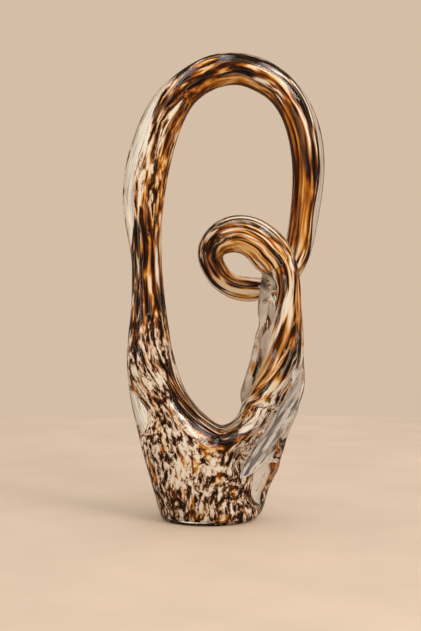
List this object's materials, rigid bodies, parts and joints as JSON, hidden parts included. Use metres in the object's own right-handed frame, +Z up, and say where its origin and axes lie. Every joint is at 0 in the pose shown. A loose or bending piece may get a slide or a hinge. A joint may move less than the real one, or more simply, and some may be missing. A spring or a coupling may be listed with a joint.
{
  "type": "glass wave sculpture",
  "caption": "Free-standing sculpture of cased amber and brown glass: a tapered foot that splits into a tall drawn loop and a twisted arm rolled into a curl.",
  "frame": {"origin": "middle of the ground face under the foot, where the sculpture stands", "axes": "+Z up to the top of the loop, +X to the right towards the twisted arm, -Y to the front, where the curl leans out"},
  "size_m": [0.1918, 0.091, 0.4414],
  "materials": {
    "clear_glass": "fire-polished clear",
    "chip_glass": "melted amber, brown and cream chips",
    "opal_glass": "cream opal"
  },
  "bodies": {
    "root": {"foot_casing": "clear_glass", "foot_colour": "chip_glass", "foot_heart": "opal_glass", "loop_casing": "clear_glass", "loop_colour": "chip_glass", "loop_heart": "opal_glass", "arm_casing": "clear_glass", "arm_colour": "chip_glass", "arm_heart": "opal_glass", "curl_casing": "clear_glass", "curl_colour": "chip_glass", "curl_heart": "opal_glass", "inner_fin": "clear_glass", "outer_fold": "clear_glass"}
  },
  "joints": []
}
